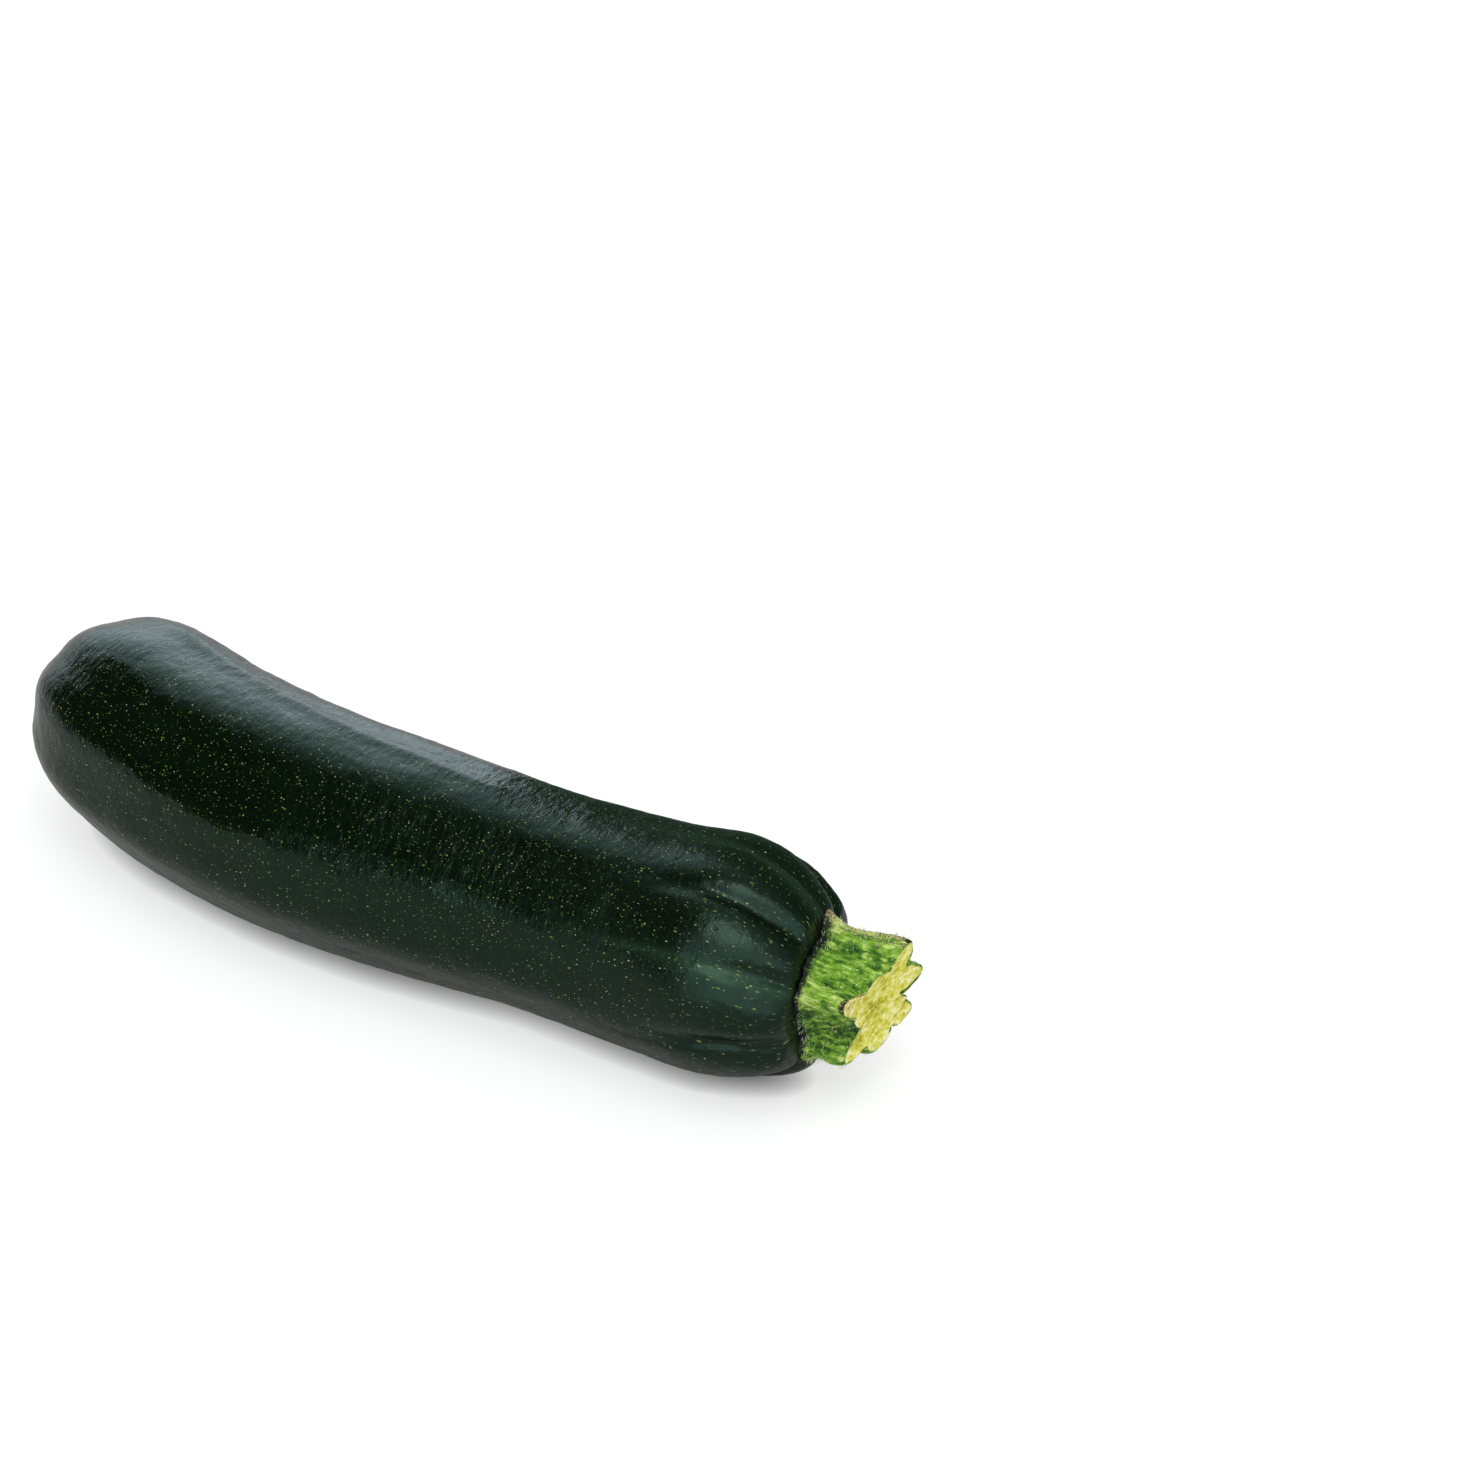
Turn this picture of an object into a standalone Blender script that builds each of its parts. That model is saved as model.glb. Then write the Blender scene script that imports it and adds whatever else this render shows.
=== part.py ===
"""One zucchini, lying on its side as picked: the fruit, the cut stem and the blossom scar.

Metres, +Z up. The fruit runs along +X, from its blossom end to its stem, and lies on z = 0.
Angles round the fruit are in degrees: 0 faces -Y, 90 is the top, 270 is the underside.
"""

import math

import bmesh
import bpy
from mathutils import Vector

# Driving dimensions
FRUIT_LENGTH = 0.1835
BODY_RADIUS = 0.0230
SHOULDER_RADIUS = 0.0242
WAIST_RADIUS = 0.0219
STEM_LENGTH = 0.0117
STEM_RADIUS = 0.0130
SCAR_RADIUS = 0.0043
SCAR_THICKNESS = 0.0013
GAP = 0.0003

# How the fruit swells and narrows along its length
BELLY_AT = 0.055
BELLY_SPREAD = 0.045
BELLY_RISE = 0.0007
WAIST_AT = 0.126
WAIST_SPREAD = 0.022
SHOULDER_AT = 0.167
SHOULDER_SPREAD = 0.013
BLOSSOM_CAP = 0.031
BLOSSOM_BLUNTNESS = 2.3
STEM_CAP = 0.0225
SEAT_RADIUS = 0.0148
SEAT_LEAN = 0.0022
SEAT_LEAN_TOWARDS = 135
SEAT_LEAN_LENGTH = 0.014

# How it lies: the centre line bends in plan, and the stem end droops
SLOPE_AT_TIP = math.tan(math.radians(-18.8))
SLOPE_CHANGE = math.tan(math.radians(9)) - SLOPE_AT_TIP
TURN_LENGTH = 0.100
STEM_DROOP = 0.0009
DROOP_LENGTH = 0.030
REST_FLAT = 0.0004

# Five ridges run on from the stem, a groove lies between each two, and flat facets lie
# between the lines of the body
RIDGES = (31, 101, 172, 222, 306)
GROOVES = (68, 140, 196, 262, 350)
BODY_LINES = (31, 76, 125, 152, 178, 200, 222, 262, 306, 350)
FACET_DEPTH = 0.0006
BLOSSOM_FACET_DEPTH = 0.0010
GROOVE_DEPTH = 0.0026
GROOVE_SHARPNESS = 1.5
GROOVE_LENGTH = 0.056
GROOVE_ONSET = 3
RIDGE_HEIGHT = 0.0007
RIDGE_HALF_WIDTH = 5.0

# Two broad flats take the roundness off the shoulder: angle, half width, depth and onset
FLATS = ((126, 16, 0.0013, 3), (305, 16, 0.0026, 8))

# The stem's cut is a star: angle, and radius there as a share of the stem's radius
CUT_STAR = (
    (34, 1.12),
    (50, 0.71),
    (66, 0.77),
    (92, 0.69),
    (111, 1.08),
    (130, 0.66),
    (150, 0.76),
    (170, 0.88),
    (185, 0.42),
    (203, 0.66),
    (217, 1.00),
    (229, 0.97),
    (239, 0.74),
    (248, 0.92),
    (261, 0.98),
    (281, 0.72),
    (308, 0.96),
    (334, 0.42),
    (372, 0.58),
)
STEM_SIDE = ((0, 1.11), (0.12, 1.06), (0.3, 1.01), (0.5, 1.02), (0.7, 1.05), (0.88, 1.06), (1, 1.0))
LOBE_FULLNESS = 0.6
BASE_HOLLOWS = 0.40
STEM_RISE = 0.06
CUT_SLANT_SIDE = -0.27
CUT_SLANT_UP = 0.17
CUT_DISH = 0.0010

# The scar's outline is wavy: waves round it, their height as a share, and their start
SCAR_WAVES = ((5, 0.06, 0), (3, 0.04, 90))

# Rings that close the seat, the stem's base and its cut, as shares of their radius
INNER_SEAT_RINGS = (0.85, 0.45, 0.0)
INNER_BASE_RINGS = (0.0, 0.5)
INNER_CUT_RINGS = (0.75, 0.4, 0.0)

# How finely each piece is turned
FRUIT_STEPS = 72
STEM_STEPS = 90
SCAR_STEPS = 28
CAP_RINGS = 9
BODY_RINGS = 17
SHOULDER_RINGS = 9
MERGE = 0.00001


def smoothstep(value):
    """0 below 0, 1 above 1, and a smooth rise between."""
    value = min(1.0, max(0.0, value))
    return value * value * (3 - 2 * value)


def hump(x, at, spread):
    """A smooth hump of height 1 at `at`."""
    return math.exp(-(((x - at) / spread) ** 2))


def away(angle, other):
    """The smallest turn between two angles, in degrees."""
    return abs((angle - other + 180) % 360 - 180)


def resting_radius(x):
    """The radius that holds the fruit's centre line up, belly and shoulder on the surface."""
    return (
        BODY_RADIUS
        + BELLY_RISE * hump(x, BELLY_AT, BELLY_SPREAD)
        + (SHOULDER_RADIUS - BODY_RADIUS) * hump(x, SHOULDER_AT, SHOULDER_SPREAD)
    )


def body_radius(x):
    """The fruit's radius at x, narrower at the waist, before its two ends close."""
    waist = (BODY_RADIUS - WAIST_RADIUS) * hump(x, WAIST_AT, WAIST_SPREAD)
    return resting_radius(x) - waist


def fruit_radius(x):
    """The fruit's radius at x, closed to a blunt tip and to the seat of the stem."""
    radius = body_radius(x)
    from_tip = min(1.0, x / BLOSSOM_CAP)
    closing = 1 - (1 - from_tip) ** BLOSSOM_BLUNTNESS
    radius *= max(0.0, closing) ** (1 / BLOSSOM_BLUNTNESS)
    from_seat = min(1.0, max(0.0, FRUIT_LENGTH - x) / STEM_CAP)
    rise = math.sqrt(1 - (1 - from_seat) ** 2)
    return min(radius, SEAT_RADIUS + (radius - SEAT_RADIUS) * rise)


def centre_line(x):
    """The fruit's centre at x, and the direction across it, towards angle 0."""
    turned = min(1.0, max(0.0, x / TURN_LENGTH))
    slope = SLOPE_AT_TIP + SLOPE_CHANGE * smoothstep(turned)
    y = SLOPE_AT_TIP * x + SLOPE_CHANGE * (
        TURN_LENGTH * (turned**3 - turned**4 / 2) + max(0.0, x - TURN_LENGTH)
    )
    droop = STEM_DROOP * smoothstep((x - FRUIT_LENGTH + DROOP_LENGTH) / DROOP_LENGTH)
    z = resting_radius(x) - REST_FLAT - droop
    return Vector((x, y, z)), Vector((slope, -1, 0)).normalized()


def place(x, radius, angle):
    """The point at a distance and an angle from the centre line."""
    centre, across = centre_line(x)
    turn = math.radians(angle)
    return centre + radius * (math.cos(turn) * across + math.sin(turn) * Vector((0, 0, 1)))


def swell(angle, lines):
    """0 on one of the lines, 1 halfway to the next one."""
    lines = sorted(lines)
    angle %= 360
    for low, high in zip([lines[-1] - 360, *lines], [*lines, lines[0] + 360]):
        if low <= angle < high:
            return math.sin(math.pi * (angle - low) / (high - low))
    return 0.0


def seat_lean(radius, angle):
    """How far the stem's seat falls back towards the fruit, on its upper far side."""
    towards = math.cos(math.radians(angle - SEAT_LEAN_TOWARDS))
    return SEAT_LEAN * max(0.0, towards) * min(1.0, radius / SEAT_RADIUS) ** 2


def skin_radius(x, radius, angle):
    """The fruit's radius with its flat facets, its grooves, flats and ridges by the stem."""
    share = radius / body_radius(x)
    by_blossom = 1 - smoothstep(x / (2 * BLOSSOM_CAP))
    by_stem = smoothstep(1 - (FRUIT_LENGTH - x) / GROOVE_LENGTH)
    facet = FACET_DEPTH + (BLOSSOM_FACET_DEPTH - FACET_DEPTH) * by_blossom
    radius -= share * facet * (1 - by_stem) * swell(angle, BODY_LINES) ** 2
    groove = (1 - swell(angle, RIDGES + GROOVES)) ** GROOVE_SHARPNESS
    radius -= share * GROOVE_DEPTH * by_stem**GROOVE_ONSET * groove
    for at, half_width, depth, onset in FLATS:
        flat = depth * hump(away(angle, at), 0, half_width)
        radius -= share * flat * by_stem**onset
    for ridge in RIDGES:
        height = RIDGE_HEIGHT * by_stem * hump(away(angle, ridge), 0, RIDGE_HALF_WIDTH)
        radius += share * height
    return radius


def turned_blank(name, profile, steps):
    """A closed mesh: a profile of (x, radius) pairs turned once round the X axis."""
    mesh = bpy.data.meshes.new(name)
    points = [(x, 0.0, radius) for x, radius in profile]
    mesh.from_pydata(points, [(i, i + 1) for i in range(len(points) - 1)], [])
    blank = bpy.data.objects.new(name, mesh)
    bpy.context.scene.collection.objects.link(blank)
    screw = blank.modifiers.new("turn", "SCREW")
    screw.axis = "X"
    screw.steps = screw.render_steps = steps
    screw.use_merge_vertices = True
    screw.merge_threshold = MERGE
    graph = bpy.context.evaluated_depsgraph_get()
    turned = bpy.data.meshes.new_from_object(blank.evaluated_get(graph))
    bpy.data.objects.remove(blank)
    bpy.data.meshes.remove(mesh)
    turned.name = name
    return turned


def reshape(mesh, new_place):
    """Moves each point of a turned blank to new_place(x, radius, angle)."""
    shaped = bmesh.new()
    shaped.from_mesh(mesh)
    bmesh.ops.remove_doubles(shaped, verts=shaped.verts, dist=MERGE)
    for vert in shaped.verts:
        x, y, z = vert.co
        vert.co = new_place(x, math.hypot(y, z), math.degrees(math.atan2(z, -y)))
    shaped.normal_update()
    bmesh.ops.recalc_face_normals(shaped, faces=shaped.faces)
    shaped.to_mesh(mesh)
    shaped.free()
    mesh.shade_smooth()


def material(name, colour, roughness):
    """A plain skin: colour in linear RGB."""
    made = bpy.data.materials.new(name)
    made.use_nodes = True
    shader = made.node_tree.nodes["Principled BSDF"]
    shader.inputs["Base Color"].default_value = (*colour, 1)
    shader.inputs["Roughness"].default_value = roughness
    made.diffuse_color = (*colour, 1)
    return made


def add_piece(name, mesh, skin, collection):
    mesh.materials.append(skin)
    piece = bpy.data.objects.new(name, mesh)
    collection.objects.link(piece)
    return piece


def fruit_profile():
    """Rings from the blossom end to the stem's seat, closer together where it curves."""
    quarter = math.pi / 2
    blossom = [
        BLOSSOM_CAP * (1 - math.cos(quarter * i / CAP_RINGS)) for i in range(1, CAP_RINGS)
    ]
    body_end = FRUIT_LENGTH - STEM_CAP
    body_step = (body_end - BLOSSOM_CAP) / BODY_RINGS
    body = [BLOSSOM_CAP + body_step * i for i in range(BODY_RINGS)]
    shoulder = [
        body_end + STEM_CAP * math.sin(quarter * i / SHOULDER_RINGS)
        for i in range(SHOULDER_RINGS + 1)
    ]
    rings = [(x, fruit_radius(x)) for x in blossom + body + shoulder]
    scar_seat = rings[0][0]
    tip = [(scar_seat, 0.0), (scar_seat, SCAR_RADIUS / 2)]
    seat = [(FRUIT_LENGTH, SEAT_RADIUS * share) for share in INNER_SEAT_RINGS]
    return tip + rings + seat


def build_fruit(collection):
    """The fruit: ribbed by the stem, bent in plan and flattened where it lies."""

    def skin_place(x, radius, angle):
        near_seat = smoothstep(1 - (FRUIT_LENGTH - x) / SEAT_LEAN_LENGTH)
        across = skin_radius(x, radius, angle)
        point = place(x - seat_lean(radius, angle) * near_seat, across, angle)
        point.z = max(0.0, point.z)
        return point

    mesh = turned_blank("fruit", fruit_profile(), FRUIT_STEPS)
    reshape(mesh, skin_place)
    skin = material("dark green skin", (0.012, 0.045, 0.014), 0.32)
    return add_piece("fruit", mesh, skin, collection)


def star(angle):
    """The cut's radius at an angle, as a share, curving from each listed point to the next."""
    angle = (angle - CUT_STAR[0][0]) % 360 + CUT_STAR[0][0]
    around = CUT_STAR + ((CUT_STAR[0][0] + 360, CUT_STAR[0][1]),)
    for (low, start), (high, end) in zip(around, around[1:]):
        if low <= angle <= high:
            climb = (angle - low) / (high - low)
            climb = smoothstep(climb if end > start else 1 - climb) ** LOBE_FULLNESS
            return min(start, end) + abs(end - start) * climb
    return 1.0


def build_stem(collection):
    """The stem: a star of ridges that flares at its base and ends in a slanting cut."""

    def stem_place(along, share, angle):
        hollows = BASE_HOLLOWS + (1 - BASE_HOLLOWS) * along
        radius = STEM_RADIUS * share * (1 - hollows * (1 - star(angle)))
        turn = math.radians(angle)
        slant = CUT_SLANT_SIDE * math.cos(turn) + CUT_SLANT_UP * math.sin(turn)
        dish = CUT_DISH * (1 - share**2) if along == 1 else 0.0
        length = (STEM_LENGTH + slant * radius - dish) * along
        lean = seat_lean(radius, angle) * (1 - along)
        point = place(FRUIT_LENGTH + GAP + length - lean, radius, angle)
        point.z += STEM_RISE * length
        return point

    base = tuple((0, share) for share in INNER_BASE_RINGS)
    cut = tuple((1, share) for share in INNER_CUT_RINGS)
    mesh = turned_blank("stem", base + STEM_SIDE + cut, STEM_STEPS)
    reshape(mesh, stem_place)
    rind = material("pale green stem", (0.13, 0.24, 0.035), 0.6)
    return add_piece("stem", mesh, rind, collection)


def build_scar(collection):
    """The dry scar at the blossom end: a corky button with a raised rim."""
    seat = fruit_profile()[0][0] - GAP

    def scar_place(depth, radius, angle):
        uneven = 1 + sum(
            height * math.sin(math.radians(count * angle + start))
            for count, height, start in SCAR_WAVES
        )
        return place(seat - depth, radius * uneven, angle)

    profile = [
        (0.0, 0.0),
        (0.0, SCAR_RADIUS * 0.90),
        (SCAR_THICKNESS * 0.5, SCAR_RADIUS),
        (SCAR_THICKNESS * 0.95, SCAR_RADIUS * 0.86),
        (SCAR_THICKNESS, SCAR_RADIUS * 0.68),
        (SCAR_THICKNESS * 0.55, SCAR_RADIUS * 0.42),
        (SCAR_THICKNESS * 0.65, 0.0),
    ]
    mesh = turned_blank("blossom_scar", profile, SCAR_STEPS)
    reshape(mesh, scar_place)
    cork = material("dry tan cork", (0.30, 0.19, 0.075), 0.85)
    return add_piece("blossom_scar", mesh, cork, collection)


def centre_on_origin(pieces):
    """Slides all pieces so that the origin is the middle of the underside of their box."""
    corners = [vert.co for piece in pieces for vert in piece.data.vertices]
    middle = [
        (min(c[axis] for c in corners) + max(c[axis] for c in corners)) / 2
        for axis in (0, 1)
    ]
    for piece in pieces:
        piece.location = (-middle[0], -middle[1], 0)


def main():
    for leftover in list(bpy.data.objects):
        bpy.data.objects.remove(leftover)
    zucchini = bpy.data.collections.new("zucchini")
    bpy.context.scene.collection.children.link(zucchini)
    pieces = [build_fruit(zucchini), build_stem(zucchini), build_scar(zucchini)]
    centre_on_origin(pieces)


main()
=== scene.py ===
# %% [markdown]
# # A zucchini, as picked
# We dress one zucchini that lies on its side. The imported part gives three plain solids: the
# fruit, the cut stem and the small scar where the blossom fell off. Each is replaced here by a
# finer piece of the same form, with the wrinkles, ribs, prickles and flecks of the real one.
# Everything is in metres, in the part's own frame: +X runs along the fruit to its stem, +Z is up.

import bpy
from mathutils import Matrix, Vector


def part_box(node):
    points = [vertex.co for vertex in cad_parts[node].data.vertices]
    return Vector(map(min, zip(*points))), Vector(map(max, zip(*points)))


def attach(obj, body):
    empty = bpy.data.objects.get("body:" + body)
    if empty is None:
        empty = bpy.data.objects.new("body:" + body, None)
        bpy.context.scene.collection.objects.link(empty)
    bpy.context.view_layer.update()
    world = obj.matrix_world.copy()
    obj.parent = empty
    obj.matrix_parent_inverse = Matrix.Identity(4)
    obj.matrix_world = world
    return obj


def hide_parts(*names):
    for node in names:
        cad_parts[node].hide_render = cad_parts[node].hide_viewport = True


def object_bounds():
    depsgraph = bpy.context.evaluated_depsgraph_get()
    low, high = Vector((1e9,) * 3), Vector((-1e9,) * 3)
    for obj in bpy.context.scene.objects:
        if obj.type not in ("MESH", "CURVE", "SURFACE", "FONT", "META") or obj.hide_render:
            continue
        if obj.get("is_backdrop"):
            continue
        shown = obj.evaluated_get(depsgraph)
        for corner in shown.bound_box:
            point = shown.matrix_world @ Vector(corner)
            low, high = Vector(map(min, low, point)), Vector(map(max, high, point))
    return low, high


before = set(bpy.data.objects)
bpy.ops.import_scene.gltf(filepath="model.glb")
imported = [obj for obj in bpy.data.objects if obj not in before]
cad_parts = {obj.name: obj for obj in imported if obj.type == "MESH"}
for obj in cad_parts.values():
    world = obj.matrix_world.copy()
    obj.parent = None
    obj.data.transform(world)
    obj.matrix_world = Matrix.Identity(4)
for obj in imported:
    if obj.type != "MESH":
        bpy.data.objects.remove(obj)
cad_low, cad_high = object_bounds()
print("packed pieces:", sorted(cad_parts))
print("size in mm:", [round((high - low) * 1000, 1) for low, high in zip(cad_low, cad_high)])

# %% Blender's modules, and a seeded source of chance
import math
import random

import bpy
import numpy as np
from mathutils import Vector

SEED = 7
MM = 0.001
chance = random.Random(SEED)
print("Blender", bpy.app.version_string, "and seed", SEED)

# %% [markdown]
# ## How a zucchini is shaped
# A real zucchini is nearly a cylinder, but three things give it away: a slow swell and a waist
# along its length, a bend, and ribs. The flower's five parts leave five ridges that run on from
# the stem into the fruit, with a groove between each two, so the shoulder looks quilted. Further
# along they fade into flat facets. One way is to sculpt all this by eye. We write it as a few
# formulas instead, because then the fine skin follows the plain solid exactly, and the same
# formulas tell the materials where a ridge or a hollow is.

# %% The fruit's measures
FRUIT_LENGTH = 183.5 * MM
BODY_RADIUS = 23.0 * MM
SHOULDER_RADIUS = 24.2 * MM
WAIST_RADIUS = 21.9 * MM
BELLY_RISE = 0.7 * MM
BELLY_AT, BELLY_SPREAD = 55 * MM, 45 * MM
WAIST_AT, WAIST_SPREAD = 126 * MM, 22 * MM
SHOULDER_AT, SHOULDER_SPREAD = 167 * MM, 13 * MM
BLOSSOM_CAP, BLOSSOM_BLUNTNESS = 31 * MM, 2.3
STEM_CAP, SEAT_RADIUS = 22.5 * MM, 14.8 * MM
SEAT_LEAN, SEAT_LEAN_TOWARDS, SEAT_LEAN_LENGTH = 2.2 * MM, 135, 14 * MM
RIDGES = (31, 101, 172, 222, 306)
GROOVES = (68, 140, 196, 262, 350)
BODY_LINES = (31, 76, 125, 152, 178, 200, 222, 262, 306, 350)
print("ridges and grooves round the shoulder, in degrees:", sorted(RIDGES + GROOVES))


# %% The radius along the fruit, before its ribs
def smoothstep(value):
    """0 below 0, 1 above 1, and an S between."""
    value = np.clip(value, 0, 1)
    return value * value * (3 - 2 * value)


def hump(x, at, spread):
    """1 at `at`, falling to nothing about two spreads away."""
    return np.exp(-(((x - at) / spread) ** 2))


def resting_radius(x):
    shoulder = (SHOULDER_RADIUS - BODY_RADIUS) * hump(x, SHOULDER_AT, SHOULDER_SPREAD)
    return BODY_RADIUS + BELLY_RISE * hump(x, BELLY_AT, BELLY_SPREAD) + shoulder


def body_radius(x):
    return resting_radius(x) - (BODY_RADIUS - WAIST_RADIUS) * hump(x, WAIST_AT, WAIST_SPREAD)


def fruit_radius(x):
    from_tip = np.clip(x / BLOSSOM_CAP, 0, 1)
    closing = (1 - (1 - from_tip) ** BLOSSOM_BLUNTNESS) ** (1 / BLOSSOM_BLUNTNESS)
    radius = body_radius(x) * closing
    from_seat = np.clip((FRUIT_LENGTH - x) / STEM_CAP, 0, 1)
    rise = np.sqrt(1 - (1 - from_seat) ** 2)
    return np.minimum(radius, SEAT_RADIUS + (radius - SEAT_RADIUS) * rise)


print("radius in mm every 30 mm:", np.round(fruit_radius(np.arange(5, 184, 30) * MM) / MM, 1))

# %% [markdown]
# The bend is kept apart from the section. We model the fruit straight, which is easy, and bend
# it at the very end by sending each point from its place on the straight axis to the same place
# on the curved one. The curve only turns near the blossom end, as on the real fruit.

# %% The curved centre line
TURN_AT_TIP, TURN_AT_STEM = -18.8, 9.0
SLOPE_AT_TIP = math.tan(math.radians(TURN_AT_TIP))
SLOPE_CHANGE = math.tan(math.radians(TURN_AT_STEM)) - SLOPE_AT_TIP
TURN_LENGTH = 100 * MM
STEM_DROOP, DROOP_LENGTH = 0.9 * MM, 30 * MM
REST_FLAT = 0.4 * MM


def bend(x, radius, angle):
    """Points at a distance and an angle (0 faces -Y, 90 is up) from the curved centre line."""
    turned = np.clip(x / TURN_LENGTH, 0, 1)
    slope = SLOPE_AT_TIP + SLOPE_CHANGE * smoothstep(turned)
    run = TURN_LENGTH * (turned**3 - turned**4 / 2) + np.maximum(0, x - TURN_LENGTH)
    droop = STEM_DROOP * smoothstep((x - FRUIT_LENGTH + DROOP_LENGTH) / DROOP_LENGTH)
    sideways = radius * np.cos(angle) / np.sqrt(1 + slope**2)
    along = x + slope * sideways
    across = SLOPE_AT_TIP * x + SLOPE_CHANGE * run - sideways
    up = resting_radius(x) - REST_FLAT - droop + radius * np.sin(angle)
    return np.stack([along, across, up], axis=1)


print("bend in plan:", round(TURN_AT_STEM - TURN_AT_TIP), "degrees")

# %% [markdown]
# The ribs are a sum of simple terms, each a function of the angle round the fruit: flat facets on
# the body, grooves and ridges at the shoulder, and a few steep creases beside the ridges. Knife
# cuts could make them too, but a formula fades each one out softly, as it fades on the fruit.

# %% The ribs
FACET_DEPTH, BLOSSOM_FACET_DEPTH = 0.6 * MM, 1.0 * MM
GROOVE_DEPTH, GROOVE_LENGTH = 2.6 * MM, 56 * MM
GROOVE_ONSET, GROOVE_SHARPNESS = 3, 1.5
RIDGE_HEIGHT, RIDGE_HALF_WIDTH = 0.7 * MM, 5.0
# Each flat: its angle, its half width, its depth and how late it sets in towards the stem
FLATS = ((126, 16, 1.3 * MM, 3), (305, 16, 2.6 * MM, 8))
EDGE_HEIGHT, EDGE_HALF_WIDTH = 0.35 * MM, 5.0
EDGE_FROM, EDGE_TO, EDGE_FADE = (32 * MM, 113), (110 * MM, 95), 0.3
CREASE_TURNS_FROM, CREASE_TURN_LENGTH = 150 * MM, 34 * MM
# Each crease: its angle far from the stem and at it, its half widths on both sides, its depth
CREASES = (
    (30, 36, 1.8, 9, 1.0 * MM),
    (64, 71, 3.0, 4.5, 0.8 * MM),
    (97, 109, 2.0, 9, 1.1 * MM),
    (141, 136, 4.0, 5, 0.5 * MM),
    (178, 180, 2.0, 8, 0.8 * MM),
    (-20, -5, 2.0, 7, 0.8 * MM),
    (228, 229, 2.0, 8, 0.8 * MM),
    (300, 303, 6.0, 2, 0.8 * MM),
)


def swell(degrees, lines):
    """0 on one of the lines, 1 halfway to the next one."""
    lines = sorted(lines)
    around = np.array([lines[-1] - 360, *lines, lines[0] + 360], dtype=float)
    degrees = np.mod(degrees, 360)
    which = np.searchsorted(around, degrees, side="right") - 1
    low, high = around[which], around[which + 1]
    return np.sin(np.pi * (degrees - low) / (high - low))


def past(degrees, line):
    """Degrees past a line, from -180 to 180."""
    return np.mod(degrees - line + 180, 360) - 180


def ridge_share(degrees, half_width):
    """1 on a ridge line, falling to 0 a few half widths away."""
    return hump(np.min([np.abs(past(degrees, ridge)) for ridge in RIDGES], axis=0), 0, half_width)


def near_stem(x):
    """0 on the body, rising to 1 at the stem."""
    return smoothstep(1 - (FRUIT_LENGTH - x) / GROOVE_LENGTH)


def creases(x, degrees):
    """Folds beside the ridges, steep on one side. Each turns a little on its way to the stem."""
    total = 0
    for far, near, width_before, width_after, depth in CREASES:
        line = far + (near - far) * smoothstep((x - CREASE_TURNS_FROM) / CREASE_TURN_LENGTH)
        beyond = past(degrees, line)
        total = total + depth * hump(beyond, 0, np.where(beyond < 0, width_before, width_after))
    return total * near_stem(x) ** 2


def facet_edge(x, degrees):
    """The low edge that catches the light along the top of the body."""
    climb = (x - EDGE_FROM[0]) / (EDGE_TO[0] - EDGE_FROM[0])
    line = EDGE_FROM[1] + (EDGE_TO[1] - EDGE_FROM[1]) * np.clip(climb, 0, 1)
    fade = smoothstep(1 + climb / EDGE_FADE) * smoothstep(1 - (climb - 1) / EDGE_FADE)
    return EDGE_HEIGHT * fade * hump(past(degrees, line), 0, EDGE_HALF_WIDTH)


def ribbed(x, radius, degrees):
    """The radius with every rib. Near the axis the ribs shrink with it."""
    share = radius / body_radius(x)
    by_blossom = 1 - smoothstep(x / (2 * BLOSSOM_CAP))
    by_stem = near_stem(x)
    facet = FACET_DEPTH + (BLOSSOM_FACET_DEPTH - FACET_DEPTH) * by_blossom
    facet = facet * (1 - by_stem) * swell(degrees, BODY_LINES) ** 2
    groove = (1 - swell(degrees, RIDGES + GROOVES)) ** GROOVE_SHARPNESS
    groove = GROOVE_DEPTH * by_stem**GROOVE_ONSET * groove
    ridge = RIDGE_HEIGHT * by_stem * ridge_share(degrees, RIDGE_HALF_WIDTH)
    for at, half_width, depth, onset in FLATS:
        groove = groove + depth * hump(past(degrees, at), 0, half_width) * by_stem**onset
    return radius + share * (ridge + facet_edge(x, degrees) - facet - groove - creases(x, degrees))


def seat_lean(radius, degrees):
    """How far the fruit's end falls back on one side of the stem."""
    towards = np.maximum(0, np.cos(np.radians(degrees - SEAT_LEAN_TOWARDS)))
    return SEAT_LEAN * towards * np.minimum(1, radius / SEAT_RADIUS) ** 2


print("deepest groove:", GROOVE_DEPTH / MM, "mm, ridge on it:", RIDGE_HEIGHT / MM, "mm")
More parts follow.
